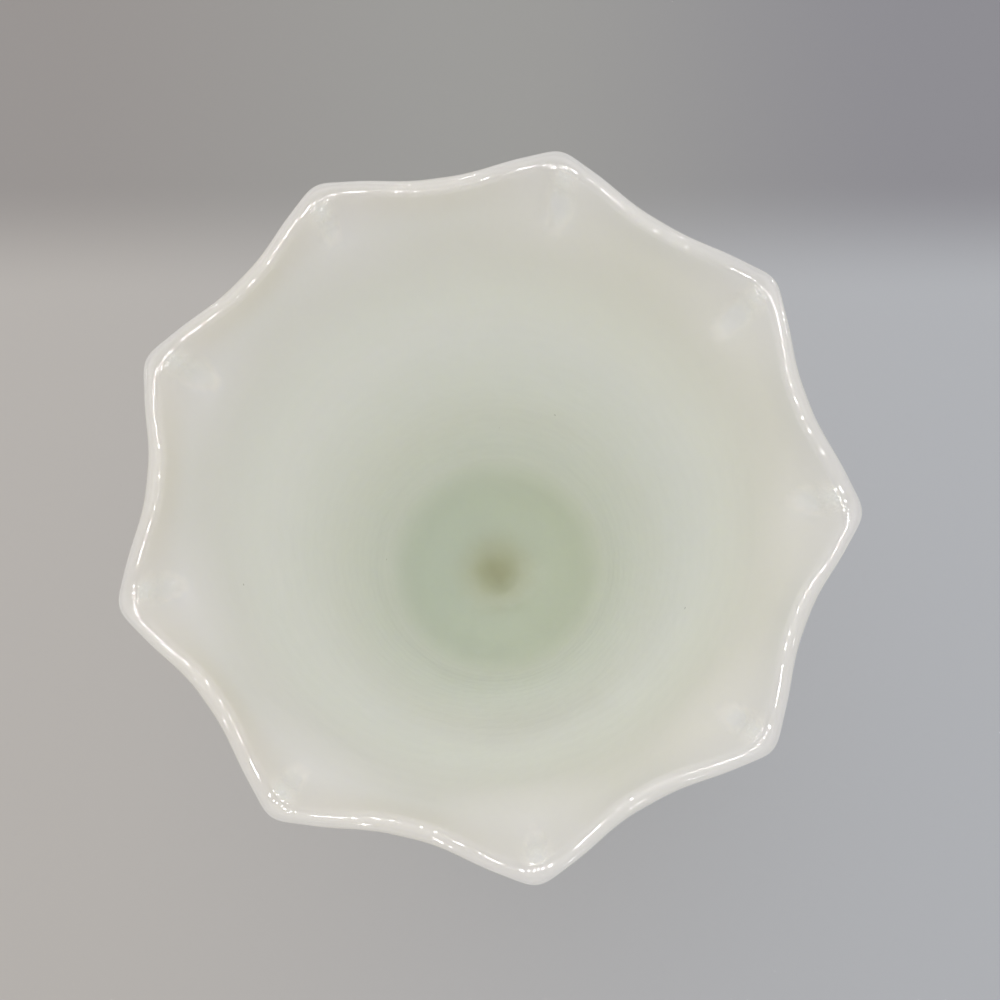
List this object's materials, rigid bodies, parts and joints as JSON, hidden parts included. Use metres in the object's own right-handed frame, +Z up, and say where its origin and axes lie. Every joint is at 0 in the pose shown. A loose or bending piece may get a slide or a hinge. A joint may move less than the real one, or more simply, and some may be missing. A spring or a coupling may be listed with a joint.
{
  "type": "milk glass vase",
  "caption": "Free-standing opaque white glass flower vase: a deep trumpet bowl with a pointed, crimped rim, set on a short knop and a round spread foot.",
  "frame": {"origin": "middle of the flat rest ring under the foot, on the vase's axis", "axes": "+Z up along the vase's axis, from the foot to the rim; +X to the right and +Y away in the picture, turned by about two degrees"},
  "size_m": [0.1518, 0.1525, 0.203],
  "materials": {
    "milk_glass": "opaque white milk glass, fire-polished and glossy, very slightly green where it is thick"
  },
  "bodies": {
    "root": {"foot": "milk_glass", "knop": "milk_glass", "bowl": "milk_glass"}
  },
  "joints": []
}
